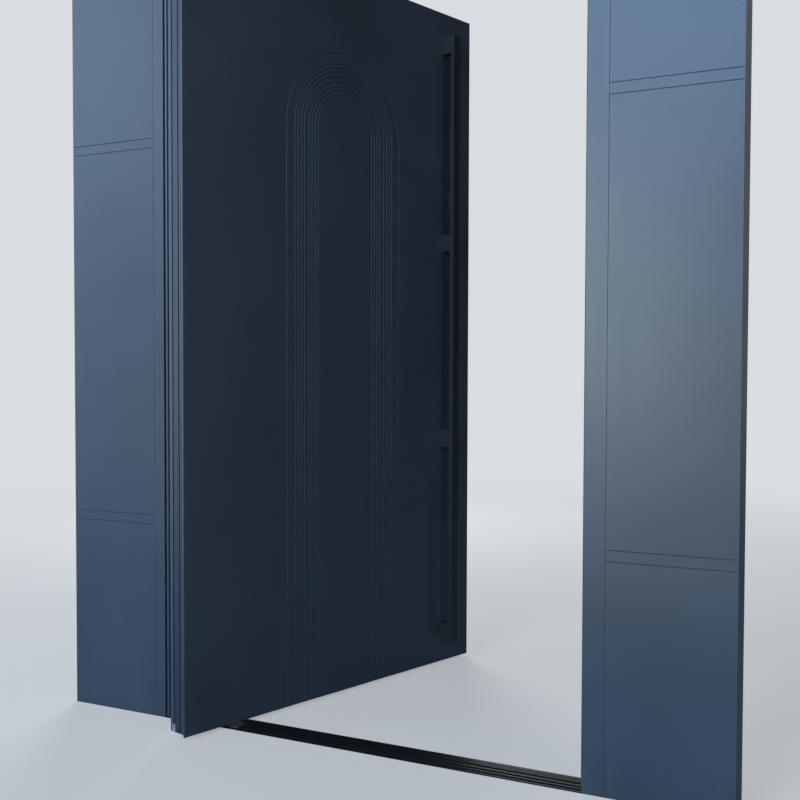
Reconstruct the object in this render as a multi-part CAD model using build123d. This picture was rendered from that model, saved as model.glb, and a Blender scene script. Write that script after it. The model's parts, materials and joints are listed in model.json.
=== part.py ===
"""Flush pivot door unit: fixed flush side panels, a stepped frame, a ribbed threshold and one wide leaf.

Millimetres, +Z up, +Y into the building. The origin is on the underside of the threshold, in the middle
of the unit's width and of the frame's depth. The leaf is drawn closed and then turned about its pivot axis
to the angle at which it stands open.
"""

import os

from build123d import *

# Overall unit
HEAD_STRIP = 80.0
SIDE_PANEL_WIDTH = 440.0
JAMB_STRIP = 80.0
FRAME_DEPTH = 130.0

# Leaf
LEAF_WIDTH = 1764.0
LEAF_TOP = 3235.0
LEAF_SKIN_BOTTOM = 14.0
LEAF_THICKNESS = 92.0
SKIN_LIP = 10.0
LEAF_SIDE_GAP = 7.0
LEAF_TOP_GAP = 7.0
OPEN_ANGLE = 73.5
PIVOT_FROM_HEEL = 246.0

# Sheet metal
SHEET = 5.0
SHEET_BEND = 3.0
OUTER_RETURN = 22.0
INNER_RETURN = 22.0
HEM_LINE_FROM_FACE = 10.5
HEM_LINE_WIDTH = 3.0
HEM_LINE_DEPTH = 2.5

# Edge seals of the leaf
OUTER_SEAL_WIDTH = 8.0
INNER_SEAL_WIDTH = 8.0
SEAL_SLOT_DEPTH = 7.0
SEAL_RECESS = 2.5
SEAL_ROUND = 2.0

# Members inside the leaf
STILE_WIDTH = 60.0
RAIL_HEIGHT = 90.0

# Routed lines
LEVEL_LINE_WIDTH = 3.0
LEVEL_LINE_FLOOR = 1.0
LEVEL_LINE_DEPTH = 1.5
ARCH_LINE_WIDTH = 8.0
ARCH_LINE_FLOOR = 3.0
ARCH_LINE_DEPTH = 3.5
LINE_PAIR_PITCH = 39.0
UPPER_LINE = 2438.0
LOWER_LINE = 856.0

# Nested arches
ARCH_SPRING = 2531.0
ARCH_INNER_RADIUS = 168.0
ARCH_PITCH = 18.0
ARCH_GROUP_GAP = 27.0
ARCH_OUTER_GAP = 47.0
ARCHES_IN_GROUP = 4

# Pull bars
BAR_WIDTH = 50.0
BAR_DEPTH = 18.0
BAR_STANDOFF = 58.0
BAR_FROM_LOCK_EDGE = 192.0
BAR_BOTTOM = 126.0
BAR_TOP = 3115.0
BRACKET_HEIGHT = 85.0
BRACKET_WIDTH = 46.0
BRACKET_COUNT = 4
BAR_EDGE_CHAMFER = 1.0

# Frame members
POST_WIDTH = 60.0
PANEL_RAIL_HEIGHT = 60.0
JAMB_NOSE_DEPTH = 28.0
NOSE_ROUND = 5.0
JAMB_CHANNEL_END = 46.0
JAMB_CHANNEL = 17.0
JAMB_STEP = 10.0
JAMB_LEDGE = 30.0
STRIKE_HOLE_MARGIN = 3.0
PANEL_JOINT = 0.4
ARRIS_CHAMFER = 0.8
PROFILE_WALL = 3.0
CHAMBER_ROUND = 2.0
BREAK_START = 58.0
BREAK_WIDTH = 14.0

# Front of the heel-side jamb, from the nose outwards: a set-back step, a land and a seal channel
HEEL_STEP_WIDTH = 8.0
HEEL_STEP_DEPTH = 12.0
HEEL_LAND_WIDTH = 11.0
HEEL_CHANNEL_WIDTH = 9.0
HEEL_CHANNEL_DEPTH = 20.0
HEEL_SEAL_RECESS = 9.0

# Threshold
THRESHOLD_HEIGHT = 8.0
THRESHOLD_BASE = 4.0
THRESHOLD_FRONT_RIB = (18.0, 9.0)
THRESHOLD_MIDDLE_RIB = (43.0, 13.0)
THRESHOLD_TREAD = (71.0, 39.0)
TREAD_FLUTES = 5
FLUTE_WIDTH = 3.0
FLUTE_DEPTH = 1.0

# Pivots
PIVOT_PLATE_LENGTH = 160.0
PIVOT_PLATE_WIDTH = 60.0
PIVOT_PLATE_THICKNESS = 6.0
PIVOT_PIN_RADIUS = 10.0
PIVOT_PIN_CLEARANCE = 0.1
PIVOT_PIN_ENGAGEMENT = 20.0
PIVOT_SEAT_GAP = 0.3
COLLAR_RADIUS = 16.0
PLATE_END_ROUND = 12.0
SHOE_LENGTH = 160.0
SHOE_WIDTH = 28.0
SHOE_HEIGHT = 45.0

# Drop seal in the leaf's lower edge
DROP_SEAL_FROM_FACE = 62.0
DROP_SEAL_WIDTH = 18.0
DROP_SEAL_HEIGHT = 30.0
DROP_SEAL_HANG = 5.0
SEAL_BLADE_WIDTH = 8.0
SEAL_PLUG_MARGIN = 2.0
SEAL_PLUG_LENGTH = 8.0

# Lock edge
FACEPLATE_WIDTH = 24.0
FACEPLATE_THICKNESS = 3.0
FACEPLATE_BOTTOM = 400.0
FACEPLATE_TOP = 2800.0
MAIN_BOLT = 1050.0
END_BOLT_INSET = 160.0
BOLT_THICKNESS = 12.0
BOLT_TALL = 34.0
BOLT_DEPTH = 30.0
STRIKE_WIDTH = 34.0
STRIKE_TALL = 90.0
STRIKE_THICKNESS = 3.0
STRIKE_CENTRE_DEPTH = 66.0

# Derived sizes of the frame
OPENING_WIDTH = LEAF_WIDTH + 2 * LEAF_SIDE_GAP
UNIT_WIDTH = OPENING_WIDTH + 2 * (JAMB_STRIP + SIDE_PANEL_WIDTH)
UNIT_HEIGHT = LEAF_TOP + LEAF_TOP_GAP + HEAD_STRIP
HALF_OPENING = OPENING_WIDTH / 2
HALF_UNIT = UNIT_WIDTH / 2
FACE = -FRAME_DEPTH / 2
BACK = FRAME_DEPTH / 2
HEAD_UNDERSIDE = LEAF_TOP + LEAF_TOP_GAP

# Derived sizes of the leaf, which is drawn with its heel at X 0 and its outer face at Y 0
LEAF_BODY_BOTTOM = LEAF_SKIN_BOTTOM + SKIN_LIP
INNER_RETURN_START = LEAF_THICKNESS - INNER_RETURN
MID_STRIP_START = OUTER_RETURN + OUTER_SEAL_WIDTH
MID_STRIP_END = INNER_RETURN_START - INNER_SEAL_WIDTH
PIVOT_DEPTH = LEAF_THICKNESS / 2
PIVOT_X = -HALF_OPENING + LEAF_SIDE_GAP + PIVOT_FROM_HEEL
PIVOT_Y = FACE + PIVOT_DEPTH
BOLT_HEIGHTS = (FACEPLATE_BOTTOM + END_BOLT_INSET, MAIN_BOLT, FACEPLATE_TOP - END_BOLT_INSET)
HEEL_JAMB_INSERT = HEEL_STEP_WIDTH + HEEL_LAND_WIDTH + HEEL_CHANNEL_WIDTH


def block(x0, x1, y0, y1, z0, z1):
    """Box between two corners."""
    return Pos((x0 + x1) / 2, (y0 + y1) / 2, (z0 + z1) / 2) * Box(x1 - x0, y1 - y0, z1 - z0)


def mirrored(shape):
    """The same piece on the other side of the unit's middle plane."""
    return mirror(shape, about=Plane.YZ)


def upright(points, bottom, top):
    """Straight extrusion along Z of a plan outline."""
    face = make_face(Polyline(*points, close=True))
    return Pos(0, 0, bottom) * extrude(face, amount=top - bottom)


def line_section(width, floor, depth):
    """Section of a routed line with slanted sides, its mouth at local Y 0 and its flat floor below it."""
    wide = (width + (width - floor) / 10) / 2
    narrow = floor / 2
    spill = depth / 10
    return Polyline((-wide, -spill), (wide, -spill), (narrow, depth), (-narrow, depth), close=True)


def level_line(x0, x1, z):
    """Cutter for a level routed line in the face at Y 0."""
    plane = Plane(origin=(x0, 0, z), x_dir=(0, 0, 1), z_dir=(1, 0, 0))
    section = line_section(LEVEL_LINE_WIDTH, LEVEL_LINE_FLOOR, LEVEL_LINE_DEPTH).mirror(Plane.XZ)
    return extrude(plane * make_face(section), amount=x1 - x0)


def arch_line(centre_x, radius, bottom):
    """Cutter for one arched line in the face at Y 0: two legs and a half circle, in one sweep."""
    path = Wire(
        [
            Edge.make_line((centre_x - radius, 0, bottom), (centre_x - radius, 0, ARCH_SPRING)),
            Edge.make_three_point_arc(
                (centre_x - radius, 0, ARCH_SPRING),
                (centre_x, 0, ARCH_SPRING + radius),
                (centre_x + radius, 0, ARCH_SPRING),
            ),
            Edge.make_line((centre_x + radius, 0, ARCH_SPRING), (centre_x + radius, 0, bottom)),
        ]
    )
    plane = Plane(origin=(centre_x - radius, 0, bottom), x_dir=(1, 0, 0), z_dir=(0, 0, 1))
    section = line_section(ARCH_LINE_WIDTH, ARCH_LINE_FLOOR, ARCH_LINE_DEPTH)
    return sweep(plane * make_face(section), path=path)


def arch_radii():
    """Radii of the nested arches from the innermost out: two groups, then one line by itself."""
    radii = []
    radius = ARCH_INNER_RADIUS
    for group in range(2):
        for step in range(ARCHES_IN_GROUP):
            radii.append(radius + step * ARCH_PITCH)
        radius = radii[-1] + ARCH_GROUP_GAP
    radii.append(radii[-1] + ARCH_OUTER_GAP)
    return radii


def line_heights():
    """Heights of the level lines that run on across panels and leaf."""
    return [height - step * LINE_PAIR_PITCH for height in (UPPER_LINE, LOWER_LINE) for step in range(2)]


def leaf_lines():
    """All cutters for the outer face of the leaf."""
    cutters = [level_line(-SHEET, LEAF_WIDTH + SHEET, z) for z in line_heights()]
    for radius in arch_radii():
        cutters.append(arch_line(LEAF_WIDTH / 2, radius, LEAF_SKIN_BOTTOM - SHEET))
    return cutters


def leaf_pan(depth, bottom, lip_bottom):
    """Folded sheet tray with its face at Y 0, returns on three edges and an open lower edge."""
    tray = block(0, LEAF_WIDTH, 0, depth, bottom, LEAF_TOP)
    if lip_bottom < bottom:
        tray += block(0, LEAF_WIDTH, 0, SHEET, lip_bottom, bottom)
    rims = [
        edge
        for edge in tray.edges()
        if abs(edge.center().Y) < 0.01 and edge.center().Z > bottom and edge.length > LEAF_WIDTH / 2
    ]
    tray = fillet(rims, SHEET_BEND)
    return tray - block(SHEET, LEAF_WIDTH - SHEET, SHEET, depth + SHEET, bottom - SHEET, LEAF_TOP - SHEET)


def hem_line():
    """Shallow line round the outer skin's returns, where the folded sheet's hem ends."""
    start = HEM_LINE_FROM_FACE
    end = start + HEM_LINE_WIDTH
    reach = LEAF_WIDTH + SHEET
    inset = HEM_LINE_DEPTH
    whole = block(-SHEET, reach, start, end, LEAF_BODY_BOTTOM, LEAF_TOP + SHEET)
    return whole - block(inset, LEAF_WIDTH - inset, start, end, LEAF_BODY_BOTTOM, LEAF_TOP - inset)


def turned_over(shape):
    """A piece of the outer face put on the inner face of the leaf, as its mirror image."""
    return Pos(0, LEAF_THICKNESS, 0) * mirror(shape, about=Plane.XZ)


def seal_ring(start, end, outer_recess, inner_recess):
    """Band round three edges of the leaf between two depths from its face."""
    ring = block(
        outer_recess, LEAF_WIDTH - outer_recess, start, end, LEAF_BODY_BOTTOM, LEAF_TOP - outer_recess
    )
    return ring - block(
        inner_recess,
        LEAF_WIDTH - inner_recess,
        start,
        end,
        LEAF_BODY_BOTTOM,
        LEAF_TOP - inner_recess,
    )


def edge_gasket(start, end):
    """Gasket in a seal slot, with its outer corners rounded off."""
    ring = seal_ring(start, end, SEAL_RECESS, SEAL_SLOT_DEPTH)
    bounds = ring.bounding_box()
    sides = (bounds.min.X, bounds.max.X)
    proud = [
        edge
        for edge in ring.edges()
        if (edge.length > LEAF_WIDTH and min(abs(edge.center().X - x) for x in sides) < SEAL_RECESS / 2)
        or (edge.length > LEAF_WIDTH / 2 and bounds.max.Z - edge.center().Z < SEAL_RECESS / 2)
    ]
    return fillet(proud, SEAL_ROUND)


def drop_seal_space(margin, x0, x1):
    """Space of the drop seal's housing along the leaf's lower edge."""
    return block(
        x0,
        x1,
        DROP_SEAL_FROM_FACE - margin,
        DROP_SEAL_FROM_FACE + DROP_SEAL_WIDTH + margin,
        LEAF_BODY_BOTTOM,
        LEAF_BODY_BOTTOM + DROP_SEAL_HEIGHT + margin,
    )


def drop_seal_blade():
    """Rubber blade below the drop seal's housing, drawn up clear of the threshold."""
    middle = DROP_SEAL_FROM_FACE + DROP_SEAL_WIDTH / 2
    half = SEAL_BLADE_WIDTH / 2
    blade = block(
        SEAL_PLUG_LENGTH,
        LEAF_WIDTH - SEAL_PLUG_LENGTH,
        middle - half,
        middle + half,
        LEAF_BODY_BOTTOM - DROP_SEAL_HANG,
        LEAF_BODY_BOTTOM,
    )
    half_hang = LEAF_BODY_BOTTOM - DROP_SEAL_HANG / 2
    low = [edge for edge in blade.edges().filter_by(Axis.X) if edge.center().Z < half_hang]
    return fillet(low, SEAL_ROUND)


def leaf_nodes():
    """Every piece of the leaf in its closed, local position."""
    nodes = {}
    outer = leaf_pan(OUTER_RETURN, LEAF_BODY_BOTTOM, LEAF_SKIN_BOTTOM) - leaf_lines() - hem_line()
    inner = turned_over(leaf_pan(INNER_RETURN, LEAF_BODY_BOTTOM, LEAF_BODY_BOTTOM) - leaf_lines())

    body = block(
        SHEET, LEAF_WIDTH - SHEET, SHEET, LEAF_THICKNESS - SHEET, LEAF_BODY_BOTTOM, LEAF_TOP - SHEET
    )
    body += block(0, LEAF_WIDTH, MID_STRIP_START, MID_STRIP_END, LEAF_BODY_BOTTOM, LEAF_TOP)
    outer_slot = (OUTER_RETURN, MID_STRIP_START)
    inner_slot = (MID_STRIP_END, INNER_RETURN_START)
    for slot in (outer_slot, inner_slot):
        body -= seal_ring(*slot, 0, SEAL_SLOT_DEPTH)

    seal_run = drop_seal_space(0, SEAL_PLUG_LENGTH, LEAF_WIDTH - SEAL_PLUG_LENGTH)
    plug_space = [
        drop_seal_space(SEAL_PLUG_MARGIN, 0, SEAL_PLUG_LENGTH),
        drop_seal_space(SEAL_PLUG_MARGIN, LEAF_WIDTH - SEAL_PLUG_LENGTH, LEAF_WIDTH),
    ]
    body -= [seal_run, *plug_space]
    inner -= [seal_run, *plug_space]

    faceplate = block(
        LEAF_WIDTH - FACEPLATE_THICKNESS,
        LEAF_WIDTH,
        PIVOT_DEPTH - FACEPLATE_WIDTH / 2,
        PIVOT_DEPTH + FACEPLATE_WIDTH / 2,
        FACEPLATE_BOTTOM,
        FACEPLATE_TOP,
    )
    bolts = [
        block(
            LEAF_WIDTH - BOLT_DEPTH,
            LEAF_WIDTH,
            PIVOT_DEPTH - BOLT_THICKNESS / 2,
            PIVOT_DEPTH + BOLT_THICKNESS / 2,
            z - BOLT_TALL / 2,
            z + BOLT_TALL / 2,
        )
        for z in BOLT_HEIGHTS
    ]
    body -= [faceplate, *bolts]

    lower_shoe, upper_shoe = pivot_shoes()
    body -= [shoe_space(LEAF_BODY_BOTTOM), shoe_space(LEAF_TOP - SHOE_HEIGHT)]

    stile_far = LEAF_WIDTH - STILE_WIDTH
    rail_low = LEAF_BODY_BOTTOM + RAIL_HEIGHT
    rail_high = LEAF_TOP - RAIL_HEIGHT
    reach = (0, LEAF_THICKNESS)
    nodes["leaf_outer_skin"] = outer
    nodes["leaf_inner_skin"] = inner
    nodes["heel_stile"] = body & block(0, STILE_WIDTH, *reach, LEAF_BODY_BOTTOM, LEAF_TOP)
    nodes["lock_stile"] = body & block(stile_far, LEAF_WIDTH, *reach, LEAF_BODY_BOTTOM, LEAF_TOP)
    nodes["leaf_bottom_rail"] = body & block(STILE_WIDTH, stile_far, *reach, LEAF_BODY_BOTTOM, rail_low)
    nodes["leaf_core"] = body & block(STILE_WIDTH, stile_far, *reach, rail_low, rail_high)
    nodes["leaf_top_rail"] = body & block(STILE_WIDTH, stile_far, *reach, rail_high, LEAF_TOP)

    seal_low = LEAF_BODY_BOTTOM + DROP_SEAL_HEIGHT + SEAL_PLUG_MARGIN
    below_plugs = block(-SHEET, LEAF_WIDTH + SHEET, *reach, 0, seal_low)
    nodes["outer_edge_gasket"] = edge_gasket(*outer_slot)
    nodes["inner_edge_gasket"] = edge_gasket(*inner_slot) - below_plugs
    nodes["drop_seal"] = seal_run + drop_seal_blade()
    nodes["drop_seal_plugs"] = Compound(children=plug_space)
    nodes["lock_faceplate"] = faceplate - bolts
    nodes["lock_bolts"] = Compound(children=bolts)
    nodes["lower_pivot_shoe"] = lower_shoe
    nodes["upper_pivot_shoe"] = upper_shoe

    bar, brackets = pull_handle()
    nodes["outer_pull_bar"] = bar
    nodes["outer_pull_brackets"] = Compound(children=brackets)
    nodes["inner_pull_bar"] = turned_over(bar)
    nodes["inner_pull_brackets"] = Compound(children=[turned_over(bracket) for bracket in brackets])
    return nodes


def shoe_space(bottom):
    """Steel block let into a rail at the pivot axis."""
    return block(
        PIVOT_FROM_HEEL - SHOE_LENGTH / 2,
        PIVOT_FROM_HEEL + SHOE_LENGTH / 2,
        PIVOT_DEPTH - SHOE_WIDTH / 2,
        PIVOT_DEPTH + SHOE_WIDTH / 2,
        bottom,
        bottom + SHOE_HEIGHT,
    )


def pivot_shoes():
    """The two shoes with their blind sockets, the lower one open below and the upper one open above."""
    radius = PIVOT_PIN_RADIUS + PIVOT_PIN_CLEARANCE
    depth = PIVOT_PIN_ENGAGEMENT + PIVOT_SEAT_GAP
    socket = Cylinder(radius, depth)
    lower = shoe_space(LEAF_BODY_BOTTOM)
    lower -= Pos(PIVOT_FROM_HEEL, PIVOT_DEPTH, LEAF_BODY_BOTTOM + depth / 2) * socket
    upper = shoe_space(LEAF_TOP - SHOE_HEIGHT)
    upper -= Pos(PIVOT_FROM_HEEL, PIVOT_DEPTH, LEAF_TOP - depth / 2) * socket
    return lower, upper


def pull_handle():
    """Flat bar in front of the face at Y 0, and the stand-off blocks that carry it."""
    centre = LEAF_WIDTH - BAR_FROM_LOCK_EDGE
    near = -BAR_STANDOFF
    bar = block(
        centre - BAR_WIDTH / 2, centre + BAR_WIDTH / 2, near - BAR_DEPTH, near, BAR_BOTTOM, BAR_TOP
    )
    bar = chamfer(bar.edges().filter_by(Axis.Z), BAR_EDGE_CHAMFER)
    first = BAR_BOTTOM + BRACKET_HEIGHT / 2
    pitch = (BAR_TOP - BAR_BOTTOM - BRACKET_HEIGHT) / (BRACKET_COUNT - 1)
    brackets = []
    for step in range(BRACKET_COUNT):
        middle = first + step * pitch
        bracket = block(
            centre - BRACKET_WIDTH / 2,
            centre + BRACKET_WIDTH / 2,
            near,
            0,
            middle - BRACKET_HEIGHT / 2,
            middle + BRACKET_HEIGHT / 2,
        )
        brackets.append(chamfer(bracket.edges().filter_by(Axis.Y), BAR_EDGE_CHAMFER))
    return bar, brackets


def chamber(inset0, inset1, depth0, depth1):
    """Hollow of a left-hand frame section, from its inset behind the nose and its depth behind the face."""
    x0 = -HALF_OPENING - inset1
    x1 = -HALF_OPENING - inset0
    hollow = block(x0, x1, FACE + depth0, FACE + depth1, -PROFILE_WALL, UNIT_HEIGHT + PROFILE_WALL)
    return fillet(hollow.edges().filter_by(Axis.Z), CHAMBER_ROUND)


def face_corners(shape):
    """Upright edges of a left-hand frame piece in its outer and inner face, apart from the nose's."""
    upright_edges = shape.edges().filter_by(Axis.Z)
    in_faces = [edge for edge in upright_edges if BACK - abs(edge.center().Y) < ARRIS_CHAMFER / 2]
    return [edge for edge in in_faces if edge.center().X < -HALF_OPENING - ARRIS_CHAMFER / 2]


def jamb(front, front_chamber_inset):
    """Left-hand jamb section: flush strip, ledges under the skins, and a stepped side with a seal channel.

    The outline of the front runs from the nose to the flush strip. Its corners in the faces are eased.
    """
    ledge = JAMB_STRIP + JAMB_LEDGE
    outline = [
        *front,
        (JAMB_STRIP, 0),
        (JAMB_STRIP, SHEET),
        (ledge, SHEET),
        (ledge, FRAME_DEPTH - SHEET),
        (JAMB_STRIP, FRAME_DEPTH - SHEET),
        (JAMB_STRIP, FRAME_DEPTH),
        (JAMB_STEP, FRAME_DEPTH),
        (JAMB_STEP, JAMB_CHANNEL_END),
        (JAMB_CHANNEL, JAMB_CHANNEL_END),
        (JAMB_CHANNEL, JAMB_NOSE_DEPTH),
        (0, JAMB_NOSE_DEPTH),
    ]
    section = upright([(-HALF_OPENING - inset, FACE + depth) for inset, depth in outline], 0, UNIT_HEIGHT)
    section = chamfer(face_corners(section), ARRIS_CHAMFER)
    far = ledge - PROFILE_WALL
    section -= chamber(front_chamber_inset, far, SHEET + PROFILE_WALL, BREAK_START)
    rear_end = FRAME_DEPTH - SHEET - PROFILE_WALL
    return section - chamber(JAMB_CHANNEL + PROFILE_WALL, far, BREAK_START + BREAK_WIDTH, rear_end)


def heel_jamb():
    """Jamb at the leaf's heel, whose front has a set-back step, a land and a seal channel."""
    land_end = HEEL_STEP_WIDTH + HEEL_LAND_WIDTH
    front = [
        (0, HEEL_STEP_DEPTH),
        (HEEL_STEP_WIDTH, HEEL_STEP_DEPTH),
        (HEEL_STEP_WIDTH, 0),
        (land_end, 0),
        (land_end, HEEL_CHANNEL_DEPTH),
        (HEEL_JAMB_INSERT, HEEL_CHANNEL_DEPTH),
        (HEEL_JAMB_INSERT, 0),
    ]
    foot = block(-HALF_OPENING - HEEL_JAMB_INSERT, -HALF_OPENING, FACE, BACK, 0, THRESHOLD_HEIGHT)
    return jamb(front, HEEL_JAMB_INSERT + PROFILE_WALL) - foot


def lock_jamb():
    """Jamb at the leaf's lock edge, with a plain flush front and a round nose."""
    section = jamb([(0, 0)], JAMB_CHANNEL + PROFILE_WALL)
    nose = section.edges().filter_by(Axis.Z).group_by(Axis.X)[-1].sort_by(Axis.Y)[0]
    return mirrored(fillet(nose, NOSE_ROUND))


def jamb_gasket():
    """Round-nosed seal seated on the floor of the side channel, at the left."""
    width = JAMB_CHANNEL_END - JAMB_NOSE_DEPTH
    root = width / 3
    floor_x = -HALF_OPENING - JAMB_CHANNEL
    middle = FACE + JAMB_NOSE_DEPTH + width / 2
    tall = HEAD_UNDERSIDE - THRESHOLD_HEIGHT
    centre = THRESHOLD_HEIGHT + tall / 2
    strip = block(floor_x, floor_x + root, middle - root, middle + root, THRESHOLD_HEIGHT, HEAD_UNDERSIDE)
    return strip + Pos(floor_x + root, middle, centre) * Cylinder(root, tall)


def head_gasket():
    """The same seal along the head between the jambs' noses, in two lengths beside the pivot plate."""
    width = JAMB_CHANNEL_END - JAMB_NOSE_DEPTH
    root = width / 3
    ceiling = HEAD_UNDERSIDE + JAMB_CHANNEL
    middle = FACE + JAMB_NOSE_DEPTH + width / 2
    strip = block(-HALF_OPENING, HALF_OPENING, middle - root, middle + root, ceiling - root, ceiling)
    seal = strip + Pos(0, middle, ceiling - root) * Rot(0, 90, 0) * Cylinder(root, OPENING_WIDTH)
    half = PIVOT_PLATE_LENGTH / 2
    return seal - block(PIVOT_X - half, PIVOT_X + half, FACE, BACK, HEAD_UNDERSIDE, ceiling)


def heel_front_gasket():
    """Seal in the channel in the front of the heel jamb."""
    x1 = -HALF_OPENING - HEEL_STEP_WIDTH - HEEL_LAND_WIDTH
    x0 = x1 - HEEL_CHANNEL_WIDTH
    seal = block(
        x0, x1, FACE + HEEL_SEAL_RECESS, FACE + HEEL_CHANNEL_DEPTH, THRESHOLD_HEIGHT, UNIT_HEIGHT
    )
    upright_edges = seal.edges().filter_by(Axis.Z)
    proud = [edge for edge in upright_edges if edge.center().Y < FACE + HEEL_CHANNEL_DEPTH / 2]
    return fillet(proud, SEAL_ROUND)


def side_panel():
    """Left side panel: outer and inner skins, core, wall post and the two short rails."""
    wall = -HALF_UNIT
    post_edge = wall + POST_WIDTH
    skin_edge = wall + SIDE_PANEL_WIDTH - PANEL_JOINT
    core_edge = wall + SIDE_PANEL_WIDTH - JAMB_LEDGE
    front = FACE + SHEET
    rear = BACK - SHEET
    lines = [Pos(0, FACE, 0) * level_line(wall - SHEET, skin_edge + SHEET, z) for z in line_heights()]
    outer = block(wall, skin_edge, FACE, front, 0, UNIT_HEIGHT)
    joint_corner = [edge for edge in face_corners(outer) if edge.center().X > post_edge]
    outer = chamfer(joint_corner, ARRIS_CHAMFER) - lines
    high = UNIT_HEIGHT - PANEL_RAIL_HEIGHT
    rails = [
        block(post_edge, core_edge, front, rear, 0, PANEL_RAIL_HEIGHT),
        block(post_edge, core_edge, front, rear, high, UNIT_HEIGHT),
    ]
    return {
        "outer_skin": outer,
        "inner_skin": mirror(outer, about=Plane.XZ),
        "panel_core": block(post_edge, core_edge, front, rear, PANEL_RAIL_HEIGHT, high),
        "panel_rails": Compound(children=rails),
        "wall_post": wall_post(wall, post_edge, front, rear),
    }


def wall_post(x0, x1, y0, y1):
    """Two-chamber post at the wall side of the panel."""
    post = block(x0, x1, y0, y1, 0, UNIT_HEIGHT)
    inset0 = -HALF_OPENING - x1 + PROFILE_WALL
    inset1 = -HALF_OPENING - x0 - PROFILE_WALL
    post -= chamber(inset0, inset1, SHEET + PROFILE_WALL, BREAK_START)
    rear_end = FRAME_DEPTH - SHEET - PROFILE_WALL
    return post - chamber(inset0, inset1, BREAK_START + BREAK_WIDTH, rear_end)


def head_rail(jambs):
    """Head between the jambs, with the same steps on its underside, cut to the jambs' profile."""
    reach = HALF_OPENING + JAMB_CHANNEL

    def layer(depth0, depth1, rise):
        return block(-reach, reach, FACE + depth0, FACE + depth1, HEAD_UNDERSIDE + rise, UNIT_HEIGHT)

    rail = layer(0, JAMB_NOSE_DEPTH, 0)
    rail += layer(JAMB_NOSE_DEPTH, JAMB_CHANNEL_END, JAMB_CHANNEL)
    rail += layer(JAMB_CHANNEL_END, FRAME_DEPTH, JAMB_STEP)
    return rail - jambs


def threshold(jambs):
    """Low ribbed extrusion, running in under the heel jamb's front and cut to the jambs' profile."""
    left = -HALF_OPENING - HEEL_JAMB_INSERT
    right = HALF_OPENING + JAMB_CHANNEL
    sill = block(left, right, FACE, BACK, 0, THRESHOLD_BASE)
    for start, width in (THRESHOLD_FRONT_RIB, THRESHOLD_MIDDLE_RIB, THRESHOLD_TREAD):
        near = FACE + start
        sill += block(left, right, near, near + width, THRESHOLD_BASE, THRESHOLD_HEIGHT)
    sill += block(left, -HALF_OPENING, FACE, BACK, THRESHOLD_BASE, THRESHOLD_HEIGHT)
    tread_start, tread_width = THRESHOLD_TREAD
    pitch = tread_width / TREAD_FLUTES
    for step in range(TREAD_FLUTES):
        near = FACE + tread_start + (step + 0.5) * pitch - FLUTE_WIDTH / 2
        floor = THRESHOLD_HEIGHT - FLUTE_DEPTH
        sill -= block(-HALF_OPENING, right, near, near + FLUTE_WIDTH, floor, THRESHOLD_HEIGHT)
    return sill - jambs


def pivot_seat(bottom):
    """Plate that carries a pivot pin, let into the frame, with rounded ends."""
    plate = block(
        PIVOT_X - PIVOT_PLATE_LENGTH / 2,
        PIVOT_X + PIVOT_PLATE_LENGTH / 2,
        PIVOT_Y - PIVOT_PLATE_WIDTH / 2,
        PIVOT_Y + PIVOT_PLATE_WIDTH / 2,
        bottom,
        bottom + PIVOT_PLATE_THICKNESS,
    )
    return fillet(plate.edges().filter_by(Axis.Z), PLATE_END_ROUND)


def pin_between(z0, z1, radius):
    """Round pin or collar on the pivot axis, between two heights."""
    return Pos(PIVOT_X, PIVOT_Y, (z0 + z1) / 2) * Cylinder(radius, z1 - z0)


def frame_nodes():
    """Every fixed piece."""
    nodes = {}
    jambs = [heel_jamb(), lock_jamb()]
    seat = pivot_seat(THRESHOLD_HEIGHT - PIVOT_PLATE_THICKNESS)
    nodes["threshold"] = threshold(jambs) - seat
    floor_pin = pin_between(THRESHOLD_HEIGHT, LEAF_BODY_BOTTOM + PIVOT_PIN_ENGAGEMENT, PIVOT_PIN_RADIUS)
    bearing = pin_between(THRESHOLD_HEIGHT, LEAF_BODY_BOTTOM - PIVOT_SEAT_GAP, COLLAR_RADIUS)
    nodes["floor_pivot"] = seat + floor_pin + bearing

    head_seat = pivot_seat(HEAD_UNDERSIDE + JAMB_STEP)
    head_pin = pin_between(LEAF_TOP - PIVOT_PIN_ENGAGEMENT, HEAD_UNDERSIDE + JAMB_STEP, PIVOT_PIN_RADIUS)
    nodes["head_rail"] = head_rail(jambs) - head_seat
    nodes["head_pivot"] = head_seat + head_pin

    strikes = [strike(z) for z in BOLT_HEIGHTS]
    nodes["left_jamb"] = jambs[0]
    nodes["right_jamb"] = jambs[1] - [space for plate, space in strikes]
    nodes["strike_plates"] = Compound(children=[plate for plate, space in strikes])
    nodes["left_jamb_gasket"] = jamb_gasket()
    nodes["right_jamb_gasket"] = mirrored(jamb_gasket())
    nodes["heel_front_gasket"] = heel_front_gasket()
    nodes["head_gasket"] = head_gasket()
    for piece, shape in side_panel().items():
        nodes["left_" + piece] = shape
        nodes["right_" + piece] = mirrored(shape)
    return nodes


def strike(height):
    """Strike plate in the right jamb's side, with its bolt hole, and the pocket cut for both."""
    face = HALF_OPENING + JAMB_STEP
    middle = FACE + STRIKE_CENTRE_DEPTH
    pocket = block(
        face,
        face + STRIKE_THICKNESS,
        middle - STRIKE_WIDTH / 2,
        middle + STRIKE_WIDTH / 2,
        height - STRIKE_TALL / 2,
        height + STRIKE_TALL / 2,
    )
    hole = block(
        face,
        face + BOLT_DEPTH,
        FACE + PIVOT_DEPTH + STRIKE_HOLE_MARGIN,
        FACE + PIVOT_DEPTH + STRIKE_HOLE_MARGIN + BOLT_THICKNESS,
        height - BOLT_TALL / 2 - STRIKE_HOLE_MARGIN,
        height + BOLT_TALL / 2 + STRIKE_HOLE_MARGIN,
    )
    return pocket - hole, pocket + hole


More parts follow.
